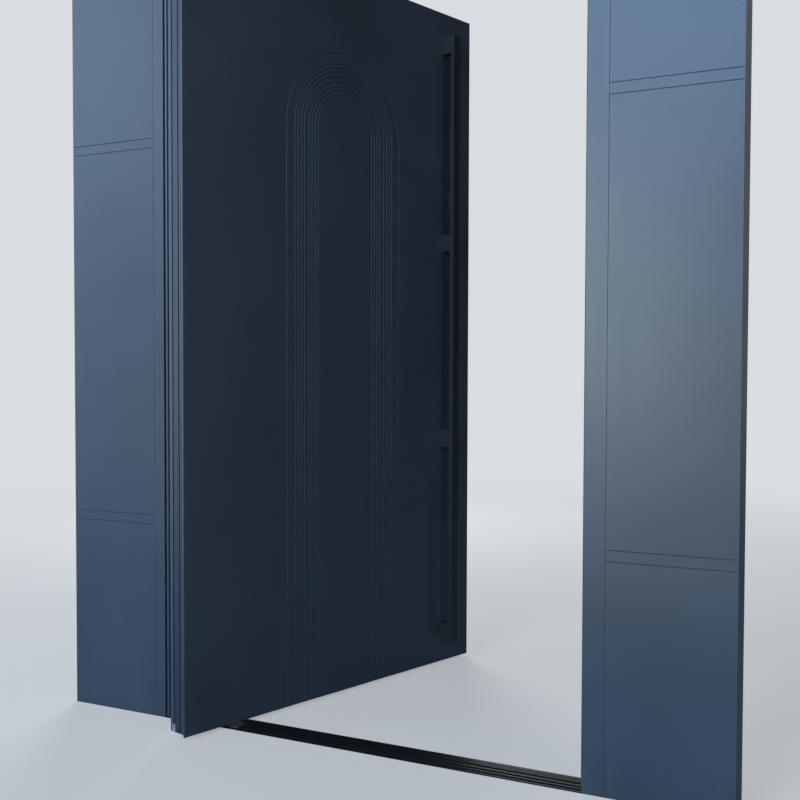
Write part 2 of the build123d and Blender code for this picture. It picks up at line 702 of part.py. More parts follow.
def main():
    """Writes every piece to its own file."""
    os.makedirs("parts", exist_ok=True)
    leaf_place = (
        Pos(PIVOT_X, PIVOT_Y, 0) * Rot(0, 0, OPEN_ANGLE) * Pos(-PIVOT_FROM_HEEL, -PIVOT_DEPTH, 0)
    )
    nodes = frame_nodes()
    for name, shape in leaf_nodes().items():
        nodes[name] = leaf_place * shape
    for name, shape in nodes.items():
        export_step(shape, f"parts/{name}.step")


main()
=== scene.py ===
"""Looks of the flush pivot door unit.

Coat, seals, metals, fixings, a soft studio and the street camera. Metres, +Z up, +Y into the
building, as in the frame. The leaf's own pieces are worked out in the closed leaf's coordinates
and carried to where it stands open.
"""

import json
import logging
import math
from dataclasses import dataclass, field, replace
from enum import Enum

import bpy
import numpy as np
from mathutils import Matrix, Vector


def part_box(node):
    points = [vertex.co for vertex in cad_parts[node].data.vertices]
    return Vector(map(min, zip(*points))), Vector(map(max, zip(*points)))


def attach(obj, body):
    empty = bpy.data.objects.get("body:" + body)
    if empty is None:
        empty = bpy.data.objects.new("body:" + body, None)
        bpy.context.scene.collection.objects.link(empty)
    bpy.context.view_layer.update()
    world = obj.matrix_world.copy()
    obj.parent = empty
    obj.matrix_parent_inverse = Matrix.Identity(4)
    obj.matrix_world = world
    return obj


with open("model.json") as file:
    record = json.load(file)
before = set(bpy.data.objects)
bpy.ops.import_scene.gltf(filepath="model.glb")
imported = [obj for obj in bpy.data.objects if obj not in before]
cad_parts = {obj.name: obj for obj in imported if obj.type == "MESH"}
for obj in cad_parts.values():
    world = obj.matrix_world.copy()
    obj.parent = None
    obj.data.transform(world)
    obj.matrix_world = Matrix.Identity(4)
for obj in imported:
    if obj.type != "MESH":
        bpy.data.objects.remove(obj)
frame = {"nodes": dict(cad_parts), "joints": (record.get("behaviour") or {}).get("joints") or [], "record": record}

LOG = logging.getLogger("door")
TURN = 2 * math.pi


class Body(Enum):
    """The two bodies that pieces ride on."""

    FRAME = "frame"
    LEAF = "leaf"


class Slot(Enum):
    """The material slots that the record names."""

    COAT = "anthracite_coat"
    EDGE = "edge_coat"
    HANDLE = "handle_coat"
    SILL = "black_sill"
    STEEL = "pivot_steel"
    RUBBER = "seal_rubber"
    WHITE = "white_plastic"
    CORE = "core_board"


class Wire:
    """An output of a shader node, with arithmetic that adds Math nodes to the same tree."""

    def __init__(self, shader: "Shader", socket: bpy.types.NodeSocket) -> None:
        """Keeps the shader and the socket.

        Args:
            shader: the tree that the socket is in.
            socket: the output socket.
        """
        self.shader = shader
        self.socket = socket

    def _math(self, operation: str, first: "Wire | float", second: "Wire | float") -> "Wire":
        """A Math node over two values."""
        return self.shader.node("ShaderNodeMath", {"operation": operation}, {0: first, 1: second})

    def __add__(self, other: "Wire | float") -> "Wire":
        """Sum."""
        return self._math("ADD", self, other)

    def __sub__(self, other: "Wire | float") -> "Wire":
        """Difference."""
        return self._math("SUBTRACT", self, other)

    def __rsub__(self, other: float) -> "Wire":
        """Difference from a number."""
        return self._math("SUBTRACT", other, self)

    def __mul__(self, other: "Wire | float") -> "Wire":
        """Product."""
        return self._math("MULTIPLY", self, other)

    __radd__ = __add__
    __rmul__ = __mul__

    def above(self, other: "Wire | float") -> "Wire":
        """The larger of two values."""
        return self._math("MAXIMUM", self, other)


class Shader:
    """The node tree of one material or of the world."""

    def __init__(self, owner: "str | bpy.types.World") -> None:
        """Starts an empty tree.

        Args:
            owner: a new material's name, or the world.
        """
        self.owner = bpy.data.materials.new(owner) if isinstance(owner, str) else owner
        self.owner.use_nodes = True
        self.tree = self.owner.node_tree
        self.tree.nodes.clear()

    def node(
        self,
        kind: str,
        settings: dict[str, object] | None = None,
        sockets: dict[int | str, object] | None = None,
        out: int | str = 0,
    ) -> Wire:
        """Adds any node.

        Args:
            kind: the node's type.
            settings: the node's own properties, set before its sockets.
            sockets: values or links of its input sockets, by index or name.
            out: the output that is wanted.

        Returns:
            That output.
        """
        made = self.tree.nodes.new(kind)
        for key, value in (settings or {}).items():
            setattr(made, key, value)
        for key, value in (sockets or {}).items():
            if isinstance(value, Wire):
                self.tree.links.new(value.socket, made.inputs[key])
            else:
                made.inputs[key].default_value = value
        return Wire(self, made.outputs[out])

    def place(
        self, centre: Vector = Vector((0, 0, 0)), turn: float = 0.0, stretch: tuple = (1, 1, 1)
    ) -> Wire:
        """Object coordinates, centred and turned about +Z, then stretched.

        Args:
            centre: the point that becomes the origin.
            turn: angle in radians that the coordinates are turned back by.
            stretch: factor along each axis.

        Returns:
            The coordinates.
        """
        own = self.node("ShaderNodeTexCoord", out="Object")
        sockets = {0: own, 1: centre, 2: (0, 0, turn), 3: (1, 1, 1)}
        moved = self.node("ShaderNodeMapping", {"vector_type": "TEXTURE"}, sockets)
        return self.node("ShaderNodeMapping", {"vector_type": "POINT"}, {0: moved, 3: stretch})

    def axes(self, vector: Wire) -> tuple[Wire, Wire, Wire]:
        """The three components of a vector.

        Args:
            vector: the vector.

        Returns:
            Its x, y and z.
        """
        x = self.node("ShaderNodeSeparateXYZ", sockets={0: vector})
        outputs = x.socket.node.outputs
        return x, Wire(self, outputs[1]), Wire(self, outputs[2])

    def dot(self, vector: Wire, fixed: tuple[float, float, float]) -> Wire:
        """Dot product of a vector and a fixed one."""
        settings = {"operation": "DOT_PRODUCT"}
        return self.node("ShaderNodeVectorMath", settings, {0: vector, 1: fixed}, out="Value")

    def noise(self, where: Wire, scale: float, detail: float = 2.0, rough: float = 0.5) -> Wire:
        """Noise between 0 and 1.

        Args:
            where: coordinates.
            scale: features per metre.
            detail: octaves.
            rough: weight of the finer octaves.

        Returns:
            The noise.
        """
        sockets = {"Vector": where, "Scale": scale, "Detail": detail, "Roughness": rough}
        return self.node("ShaderNodeTexNoise", None, sockets)

    def ramp(
        self, value: Wire, low: float, high: float, start: float = 0.0, end: float = 1.0
    ) -> Wire:
        """A smooth step.

        Args:
            value: what it depends on.
            low: value at which the step begins.
            high: value at which it ends.
            start: the step's result up to low.
            end: the step's result from high on.

        Returns:
            The step.
        """
        names = ("Value", "From Min", "From Max", "To Min", "To Max")
        sockets = dict(zip(names, (value, low, high, start, end)))
        return self.node("ShaderNodeMapRange", {"interpolation_type": "SMOOTHSTEP"}, sockets)

    def blend(self, mask: Wire | float, low: object, high: object) -> Wire:
        """A colour between two, by a mask from 0 to 1."""
        return self.node("ShaderNodeMix", {"data_type": "RGBA"}, {0: mask, 6: low, 7: high}, out=2)

    def bump(self, height: Wire, depth: float, under: Wire | None = None) -> Wire:
        """A normal bent by a height map.

        Args:
            height: the map, from 0 to 1.
            depth: metres from 0 to 1.
            under: a coarser normal that this one lies on.

        Returns:
            The normal.
        """
        sockets = {"Height": height, "Distance": depth, "Strength": 1.0}
        if under is not None:
            sockets["Normal"] = under
        return self.node("ShaderNodeBump", None, sockets, out="Normal")

    def finish(self, **sockets: object) -> bpy.types.Material:
        """Closes the tree with a Principled surface.

        Args:
            sockets: the surface's sockets, with underscores for spaces.

        Returns:
            The material.
        """
        self.end(self.surface(**sockets))
        return self.owner

    def surface(self, **sockets: object) -> Wire:
        """A Principled surface from its sockets, with underscores for spaces."""
        named = {key.replace("_", " "): value for key, value in sockets.items()}
        return self.node("ShaderNodeBsdfPrincipled", None, named)

    def end(self, surface: Wire) -> None:
        """Links a surface to the output of the material or world.

        Args:
            surface: the surface or background.
        """
        kind = "Material" if isinstance(self.owner, bpy.types.Material) else "World"
        output = self.tree.nodes.new(f"ShaderNodeOutput{kind}")
        self.tree.links.new(surface.socket, output.inputs["Surface"])


def shade(colour: tuple[float, float, float]) -> tuple[float, float, float, float]:
    """A linear colour with full alpha."""
    return (*colour, 1.0)


def lighter(colour: tuple[float, float, float], factor: float) -> tuple[float, float, float, float]:
    """A linear colour times a factor, with full alpha."""
    return shade(tuple(min(part * factor, 1.0) for part in colour))


@dataclass(frozen=True)
class Plate:
    """Where the two skins of one plate lie, so that their coat knows its routed lines and paints shade in them.

    Args:
        middle: the middle of the plate, at z 0.
        turn: the plate's turn about +Z, in radians.
        half_width: half its width.
        half_thick: half its thickness over both skins.
        low: lowest z of the outer skin.
        high: highest z of the outer skin.
        line_depth: a little more than the deepest line.
        line_mouth: depth at which the mask is full.
        hair: depth at which the mask begins.
        floor_fade: length over which it ends behind the lines.
        edge: margin for the rounded rims at the plate's ends and top.
        end_fade: length over which it ends at the margins.
    """

    middle: tuple[float, float, float]
    turn: float
    half_width: float
    half_thick: float
    low: float
    high: float
    line_depth: float = 0.0038
    line_mouth: float = 0.0011
    hair: float = 0.0002
    floor_fade: float = 0.0004
    edge: float = 0.006
    end_fade: float = 0.001

    def lines(self, s: Shader) -> Wire:
        """1 in the lines routed into either face of the plate, and 0 on its faces and edges.

        Args:
            s: the material's tree.

        Returns:
            The mask.
        """
        along, through, height = s.axes(s.place(Vector(self.middle), self.turn))
        from_middle = through.above(0.0 - through)
        aside = along.above(0.0 - along)
        face = self.half_thick
        floor = face - self.line_depth
        side = self.half_width - self.edge
        top = self.high - self.edge
        sunk = s.ramp(from_middle, face - self.line_mouth, face - self.hair, 1.0, 0.0)
        shallow = s.ramp(from_middle, floor - self.floor_fade, floor)
        inside = s.ramp(aside, side - self.end_fade, side, 1.0, 0.0)
        under = s.ramp(height, top - self.end_fade, top, 1.0, 0.0)
        over = s.ramp(height, self.low, self.low + self.end_fade)
        return sunk * shallow * inside * under * over


@dataclass(frozen=True)
class PowderCoat:
    """Satin powder coat on folded sheet: orange peel, waviness, faint clouding, site dust and painted shade in its
    routed lines.

    Args:
        name: the material's name.
        colour: linear base colour.
        gloss: roughness of the clean coat.
        specular: level of its reflection.
        dust: share of dust where it is thickest.
        dust_height: height up to which it settles.
        dust_colour: its linear colour.
        cloud_swing: share by which the clouding goes lighter and darker.
        cloud_scale: clouds per metre.
        streak_scale: upright streaks per metre.
        streak_stretch: how much longer the streaks are than wide, as a factor on z.
        spot_scale: dust spots per metre.
        settled: weight of the dust that settles low down.
        film: weight of the thin film all over.
        wave_scale: waves of the sheet per metre.
        wave_depth: their depth.
        peel_scale: bumps of the orange peel per metre.
        peel_depth: their depth.
        plate: where routed lines lie, if the piece has them.
        painted_line_shade: share of painted shade in the routed lines, which stands in for the shade that falls in
            the grooves.
        line_dull: roughness that they add.
        painted_line_shade_colour: linear colour of that painted shade.
    """

    name: str
    colour: tuple[float, float, float]
    gloss: float = 0.33
    specular: float = 0.5
    dust: float = 0.22
    dust_height: float = 0.45
    dust_colour: tuple[float, float, float] = (0.23, 0.24, 0.25)
    cloud_swing: float = 0.06
    cloud_scale: float = 2.3
    streak_scale: float = 34.0
    streak_stretch: float = 0.06
    spot_scale: float = 160.0
    settled: float = 0.55
    film: float = 0.10
    wave_scale: float = 1.7
    wave_depth: float = 0.0016
    peel_scale: float = 420.0
    peel_depth: float = 0.00005
    plate: Plate | None = None
    # Painted shade in the routed lines, and the roughness that the lines add.
    painted_line_shade: float = 0.62
    line_dull: float = 0.45
    painted_line_shade_colour: tuple[float, float, float] = (0.008, 0.032, 0.095)

    def material(self) -> bpy.types.Material:
        """Builds the material.

        The base colour is clouded by a slow noise. Dust is a mask that fades with height, broken
        by upright streaks and fine spots, plus a thin film of spots all over. The normal is a slow
        wave of the sheet with the peel of the coat on it. Routed lines get painted shade, a dark
        blue that stands in for the shade in the grooves, and are duller.

        Returns:
            The material.
        """
        s = Shader(self.name)
        at = s.place()
        height = s.axes(at)[2]
        cloud = s.noise(at, self.cloud_scale, 4.0, 0.55)
        upright = s.noise(s.place(stretch=(1, 1, self.streak_stretch)), self.streak_scale, 3.0, 0.6)
        spots = s.noise(at, self.spot_scale, 3.0, 0.65)
        dark = lighter(self.colour, 1 - self.cloud_swing)
        bright = lighter(self.colour, 1 + self.cloud_swing)
        base = s.blend(s.ramp(cloud, 0.3, 0.7), dark, bright)
        low = s.ramp(height, 0.0, self.dust_height, 1.0, 0.0)
        settled = low * low * s.ramp(upright, 0.35, 0.75) * s.ramp(spots, 0.35, 0.7)
        film = s.ramp(spots, 0.62, 0.8) * s.ramp(cloud, 0.35, 0.65) * self.film
        dust = (settled * self.settled + film) * self.dust
        tone = s.blend(dust, base, shade(self.dust_colour))
        gloss = self.gloss + (cloud - 0.5) * 0.10 + (upright - 0.5) * 0.05 + dust * 0.35
        if self.plate:
            lines = self.plate.lines(s)
            # Painted shade: the routed lines go towards a dark blue that stands in for the shade in the grooves.
            grime_and_painted_shade = lines * self.painted_line_shade * s.ramp(spots, 0.1, 0.6, 0.8, 1.0)
            tone = s.blend(grime_and_painted_shade, tone, shade(self.painted_line_shade_colour))
            gloss = gloss + lines * self.line_dull
        wave = s.bump(s.noise(at, self.wave_scale, 1.0), self.wave_depth)
        peel = s.bump(s.noise(at, self.peel_scale, 2.0, 0.5), self.peel_depth, wave)
        return s.finish(
            Base_Color=tone, Roughness=gloss, Specular_IOR_Level=self.specular, Normal=peel, IOR=1.5
        )


@dataclass(frozen=True)
class Rubber:
    """Matt black seal rubber with dust caught in its drawn ridges."""

    name: str = "seal_rubber"
    colour: tuple[float, float, float] = (0.008, 0.009, 0.011)
    bloom: tuple[float, float, float] = (0.05, 0.058, 0.07)
    gloss: float = 0.62
    bloom_share: float = 0.35
    patch_scale: float = 18.0
    grit_scale: float = 900.0
    ridge_scale: float = 1400.0
    ridge_stretch: float = 0.004
    ridge_depth: float = 0.0002

    def material(self) -> bpy.types.Material:
        """Builds the material: black, with a patchy grey bloom and fine ridges along the strip.

        Returns:
            The material.
        """
        s = Shader(self.name)
        at = s.place()
        patch = s.noise(at, self.patch_scale, 4.0, 0.6)
        grit = s.noise(at, self.grit_scale, 2.0)
        mask = s.ramp(patch, 0.45, 0.8) * s.ramp(grit, 0.4, 0.75) * self.bloom_share
        ridges = s.noise(s.place(stretch=(1, 1, self.ridge_stretch)), self.ridge_scale, 1.0)
        return s.finish(
            Base_Color=s.blend(mask, shade(self.colour), shade(self.bloom)),
            Roughness=self.gloss + mask * 0.6,
            Normal=s.bump(ridges, self.ridge_depth),
        )


@dataclass(frozen=True)
class Anodised:
    """Black anodised threshold, rubbed bright on its ribs and dusty in its grooves."""

    name: str = "black_sill"
    colour: tuple[float, float, float] = (0.008, 0.009, 0.011)
    bare: tuple[float, float, float] = (0.12, 0.14, 0.17)
    dirt: tuple[float, float, float] = (0.055, 0.062, 0.075)
    gloss: float = 0.42
    specular: float = 0.14
    wear: float = 0.4
    rib_top: float = 0.008
    groove: float = 0.0045
    scratch_scale: float = 420.0
    scratch_stretch: float = 0.05
    scratch_depth: float = 0.00008
    patch_scale: float = 5.0
    grit_scale: float = 260.0

    def material(self) -> bpy.types.Material:
        """Builds the material.

        Rubbing is a mask on the rib tops, from scratches across the threshold and slow patches.
        Dirt is a mask below the groove height, from fine grit.

        Returns:
            The material.
        """
        s = Shader(self.name)
        at = s.place()
        height = s.axes(at)[2]
        across = s.place(stretch=(1, self.scratch_stretch, 1))
        scratches = s.noise(across, self.scratch_scale, 3.0, 0.6)
        patch = s.noise(at, self.patch_scale, 4.0, 0.6)
        grit = s.noise(at, self.grit_scale, 4.0, 0.7)
        top = s.ramp(height, self.rib_top - 0.0012, self.rib_top - 0.0002)
        worn = top * s.ramp(scratches, 0.58, 0.80) * s.ramp(patch, 0.45, 0.7)
        low = s.ramp(height, self.groove, self.groove + 0.002, 1.0, 0.0)
        dirty = (low * 0.30 + 0.05) * s.ramp(grit, 0.45, 0.75)
        tone = s.blend(worn * self.wear, shade(self.colour), shade(self.bare))
        tone = s.blend(dirty, tone, shade(self.dirt))
        return s.finish(
            Base_Color=tone,
            Roughness=self.gloss + dirty * 0.5 + (patch - 0.5) * 0.12,
            Metallic=worn * self.wear,
            Specular_IOR_Level=self.specular,
            Normal=s.bump(scratches, self.scratch_depth),
        )


@dataclass(frozen=True)
class BrushedSteel:
    """Stainless steel brushed along its length."""

    name: str = "pivot_steel"
    colour: tuple[float, float, float] = (0.31, 0.32, 0.34)
    gloss: float = 0.26
    along: tuple[float, float, float] = (1, 1, 0.02)
    line_scale: float = 1600.0
    line_depth: float = 0.00004
    stain_scale: float = 14.0

    def material(self) -> bpy.types.Material:
        """Builds the material: fine drawn lines along one axis, with slow stains.

        Returns:
            The material.
        """
        s = Shader(self.name)
        lines = s.noise(s.place(stretch=self.along), self.line_scale, 2.0)
        stain = s.noise(s.place(), self.stain_scale, 3.0, 0.6)
        dark = lighter(self.colour, 0.8)
        bright = lighter(self.colour, 1.05)
        return s.finish(
            Base_Color=s.blend(s.ramp(stain, 0.3, 0.75), dark, bright),
            Metallic=1.0,
            Roughness=self.gloss + lines * 0.12 + stain * 0.08,
            Normal=s.bump(lines, self.line_depth),
        )


@dataclass(frozen=True)
class WhitePlastic:
    """White moulded plug, grimy from the site."""

    name: str = "white_plastic"
    colour: tuple[float, float, float] = (0.44, 0.45, 0.46)
    grime_and_painted_shade: tuple[float, float, float] = (0.13, 0.13, 0.13)
    gloss: float = 0.45
    grime_share: float = 0.85
    grime_scale: float = 110.0
    grain_scale: float = 700.0
    grain_depth: float = 0.00008

    def material(self) -> bpy.types.Material:
        """Builds the material: white, with speckled grime in patches.

        Returns:
            The material.
        """
        s = Shader(self.name)
        at = s.place()
        mask = s.ramp(s.noise(at, self.grime_scale, 4.0, 0.7), 0.40, 0.62) * self.grime_share
        return s.finish(
            Base_Color=s.blend(mask, shade(self.colour), shade(self.grime_and_painted_shade)),
            Roughness=self.gloss + mask * 0.3,
            Normal=s.bump(s.noise(at, self.grain_scale, 2.0), self.grain_depth),
        )


@dataclass(frozen=True)
class FoamBoard:
    """Yellowish insulation board inside the leaf and the panels."""

    name: str = "core_board"
    colour: tuple[float, float, float] = (0.55, 0.48, 0.33)
    gloss: float = 0.9
    cell_scale: float = 450.0
    cell_depth: float = 0.0004

    def material(self) -> bpy.types.Material:
        """Builds the material: closed cells as a fine cell pattern in colour and bump.

        Returns:
            The material.
        """
        s = Shader(self.name)
        at = s.place()
        cells = s.node("ShaderNodeTexVoronoi", None, {"Vector": at, "Scale": self.cell_scale})
        dark = lighter(self.colour, 0.85)
        bright = lighter(self.colour, 1.1)
        return s.finish(
            Base_Color=s.blend(s.ramp(cells, 0.0, 0.8), dark, bright),
            Roughness=self.gloss,
            Normal=s.bump(cells, self.cell_depth),
        )


def grid_mesh(name: str, points: np.ndarray, faces: np.ndarray) -> bpy.types.Object:
    """Puts whole arrays of points and four-cornered faces into a new flat-shaded mesh.

    Args:
        name: the piece's name.
        points: N x 3 places in metres.
        faces: M x 4 corner numbers, anticlockwise from outside.

    Returns:
        The object, at the origin.
    """
    mesh = bpy.data.meshes.new(name)
    mesh.vertices.add(len(points))
    mesh.vertices.foreach_set("co", points.astype(np.float32).ravel())
    mesh.loops.add(faces.size)
    mesh.loops.foreach_set("vertex_index", faces.astype(np.int32).ravel())
    mesh.polygons.add(len(faces))
    mesh.polygons.foreach_set("loop_start", np.arange(0, faces.size, 4, dtype=np.int32))
    mesh.polygons.foreach_set("use_smooth", np.zeros(len(faces), dtype=bool))
    mesh.update(calc_edges=True)
    mesh.validate()
    piece = bpy.data.objects.new(name, mesh)
    bpy.context.scene.collection.objects.link(piece)
    return piece


@dataclass
class SocketScrew:
    """Countersunk screw head with a hexagon socket, its face on the surface that it holds.

    A grid of rings by angles. Outer rings are circles of the head's profile, inner rings hexagons
    whose radius at an angle is the apothem over the cosine of the angle to the nearest flat's
    middle.

    Args:
        head: the head's diameter.
        socket: the hexagon's size across flats.
        proud: height of the head over its seat.
        edge: chamfer at the head's rim.
        depth: depth of the socket.
        mouth: the socket's mouth, as a factor on its size.
        mouth_sides: how far the mouth is a hexagon.
        taper: the socket's floor, as a factor on its size.
        corners: points round each ring.
    """

    head: float
    socket: float
    proud: float = 0.0003
    edge: float = 0.0004
    depth: float = 0.0025
    mouth: float = 1.18
    mouth_sides: float = 0.6
    taper: float = 0.97
    corners: int = 24

    def rings(self) -> tuple[np.ndarray, np.ndarray, np.ndarray]:
        """Each ring's radius, height and how far it is a hexagon, from the outside in.

        Returns:
            Three arrays of one length.
        """
        radius = self.head / 2
        flat = self.socket / 2
        rings = np.array([
            (radius, -self.edge, 0.0),
            (radius, self.proud - self.edge, 0.0),
            (radius - self.edge, self.proud, 0.0),
            (flat * self.mouth, self.proud, self.mouth_sides),
            (flat, 0.0, 1.0),
            (flat * self.taper, -self.depth, 1.0),
            (0.0, -self.depth, 1.0),
        ])
        return rings[:, 0], rings[:, 1], rings[:, 2]

    def grid(self) -> tuple[np.ndarray, np.ndarray]:
        """The screw's points about the origin, facing +Z, and its faces.

        Returns:
            Points and faces.
        """
        radii, highs, sides = self.rings()
        angles = np.arange(self.corners) * TURN / self.corners
        sixth = TURN / 6
        off = (angles + sixth / 2) % sixth - sixth / 2
        hexagon = 1.0 / np.cos(off)
        reach = radii[:, None] * (1 + sides[:, None] * (hexagon[None, :] - 1))
        level = highs[:, None] + 0 * reach
        points = np.stack([reach * np.cos(angles), reach * np.sin(angles), level], axis=-1)
        return points.reshape(-1, 3), ring_faces(len(radii), self.corners)


def ring_faces(rings: int, corners: int) -> np.ndarray:
    """Faces between neighbouring closed rings of one grid.

    Args:
        rings: rings, running from the outside in.
        corners: points round each ring.

    Returns:
        M x 4 corner numbers.
    """
    ring, corner = np.meshgrid(np.arange(rings - 1), np.arange(corners), indexing="ij")
    along = (corner + 1) % corners
    quads = [ring * corners + corner, ring * corners + along, (ring + 1) * corners + along]
    quads.append((ring + 1) * corners + corner)
    return np.stack(quads, axis=-1).reshape(-1, 4)


def arrayed(name: str, screw: SocketScrew, seats: np.ndarray, way: Vector) -> bpy.types.Object:
    """One joined mesh of like screws that face one way.

    Args:
        name: the piece's name.
        screw: the screw.
        seats: K x 3 places of the screws' faces.
        way: the direction that the screws face.

    Returns:
        The piece.
    """
    points, faces = screw.grid()
    turned = points @ facing(way).T
    places = np.concatenate([turned + seat for seat in seats])
    numbers = np.concatenate([faces + len(points) * step for step in range(len(seats))])
    return grid_mesh(name, places, numbers)


def facing(way: Vector) -> np.ndarray:
    """Rotation matrix that carries +Z to a direction."""
    return np.array(way.to_track_quat("Z", "Y").to_matrix())


def column(x: float, y: float, heights: np.ndarray) -> np.ndarray:
    """Points one above the other at one x and y."""
    return np.stack([0 * heights + x, 0 * heights + y, heights], axis=1)


@dataclass
class LeafSpace:
    """The closed leaf's coordinates: along from the pivot axis, depth inwards from it, height."""

    pivot: Vector = field(init=False)
    angle: float = field(init=False)

    def __post_init__(self) -> None:
        """Reads the pivot and the angle at which the leaf stands open from its joint."""
        swing = frame["joints"][0]
        self.pivot = Vector(swing["pos_m"])
        self.angle = -math.radians(swing["range_deg"][0])

    def out(self, points: np.ndarray) -> np.ndarray:
        """Carries closed-leaf points to where the leaf stands open.

        Args:
            points: N x 3, measured from the pivot axis.

        Returns:
            N x 3 places in the frame.
        """
        return points @ np.array(Matrix.Rotation(self.angle, 3, "Z")).T + np.array(self.pivot)

    def way(self, direction: Vector) -> Vector:
        """A closed-leaf direction as it points with the leaf open."""
        return Matrix.Rotation(self.angle, 3, "Z") @ direction

    def reach(self, node: str) -> tuple[Vector, Vector]:
        """Lowest and highest corner of a leaf node in the closed leaf's coordinates.

        Args:
            node: the node's name.

        Returns:
            Two corners.
        """
        mesh = frame["nodes"][node].data
        places = np.zeros(len(mesh.vertices) * 3, np.float32)
        mesh.vertices.foreach_get("co", places)
        back = np.array(Matrix.Rotation(-self.angle, 3, "Z"))
        closed = (places.reshape(-1, 3) - np.array(self.pivot)) @ back.T
        return Vector(closed.min(0)), Vector(closed.max(0))


@dataclass
class Finishes:
    """Every finish, made once."""

    coat: tuple[float, float, float] = (0.070, 0.092, 0.126)
    edge: tuple[float, float, float] = (0.040, 0.055, 0.079)
    handle: tuple[float, float, float] = (0.034, 0.037, 0.042)
    dull_gloss: float = 0.36
    handle_dust: float = 0.3
    # Share of painted shade in the leaf's routed lines.
    leaf_painted_line_shade: float = 0.35

    def make(self) -> dict[Slot, bpy.types.Material]:
        """Builds the materials.

        Returns:
            A material for each slot of the record.
        """
        dull = self.dull_gloss
        coat = PowderCoat("anthracite_coat", self.coat)
        edge = PowderCoat("edge_coat", self.edge, gloss=dull)
        handle = PowderCoat("handle_coat", self.handle, gloss=dull, dust=self.handle_dust)
        return {
            Slot.COAT: coat.material(),
            Slot.EDGE: edge.material(),
            Slot.HANDLE: handle.material(),
            Slot.SILL: Anodised().material(),
            Slot.STEEL: BrushedSteel().material(),
            Slot.RUBBER: Rubber().material(),
            Slot.WHITE: WhitePlastic().material(),
            Slot.CORE: FoamBoard().material(),
        }

    def skins(self, leaf: LeafSpace) -> dict[str, bpy.types.Material]:
        """Coats for the skins, which know where their routed lines lie and paint shade in them.

        Args:
            leaf: the leaf's coordinates.

        Returns:
            A material for each skin's node.
        """
        found = {}
        for side in ("left", "right"):
            outer, inner = f"{side}_outer_skin", f"{side}_inner_skin"
            low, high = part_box(outer)
            plate = self.plate(low, high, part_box(inner)[1].y)
            coat = PowderCoat(f"anthracite_coat_{side}", self.coat, plate=plate)
            found[outer] = found[inner] = coat.material()
        low, high = leaf.reach("leaf_outer_skin")
        closed = self.plate(low, high, leaf.reach("leaf_inner_skin")[1].y)
        middle = tuple(leaf.out(np.array([closed.middle]))[0])
        plate = replace(closed, middle=middle, turn=leaf.angle)
        share = self.leaf_painted_line_shade
        coat = PowderCoat("anthracite_coat_leaf", self.coat, plate=plate, painted_line_shade=share)
        found["leaf_outer_skin"] = found["leaf_inner_skin"] = coat.material()
        return found

    def plate(self, low: Vector, high: Vector, back: float) -> Plate:
        """The plate of two skins, not turned.

        Args:
            low: lowest corner of the outer skin.
            high: highest corner of the outer skin.
            back: highest y of the inner skin.

        Returns:
            The plate.
        """
        middle = ((low.x + high.x) / 2, (low.y + back) / 2, 0.0)
        return Plate(middle, 0.0, (high.x - low.x) / 2, (back - low.y) / 2, low.z, high.z)


@dataclass
class Dressing:
    """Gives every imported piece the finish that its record's slot names, or its own."""

    finishes: dict[Slot, bpy.types.Material]
    skins: dict[str, bpy.types.Material]

    def dress(self, piece: bpy.types.Object, slot: Slot) -> None:
        """Puts one finish on a whole piece. A skin's own coat goes before its slot's.

        Args:
            piece: the object.
            slot: the record's slot.
        """
        piece.data.materials.clear()
        piece.data.materials.append(self.skins.get(piece.name, self.finishes[slot]))

    def dress_all(self) -> None:
        """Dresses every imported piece."""
        for part in frame["record"]["subparts"]:
            node = frame["nodes"][part["node"]]
            self.dress(node, Slot(part["material_slot"]))
            LOG.info("%s: %s", part["node"], part["material_slot"])

    def add(self, piece: bpy.types.Object, body: Body, slot: Slot) -> None:
        """Dresses a new piece and puts it on its body.

        Args:
            piece: the new object.
            body: the body that it moves with.
            slot: the record's slot.
        """
        self.dress(piece, slot)
        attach(piece, body.value)
        LOG.info("%s rides on %s", piece.name, body.value)


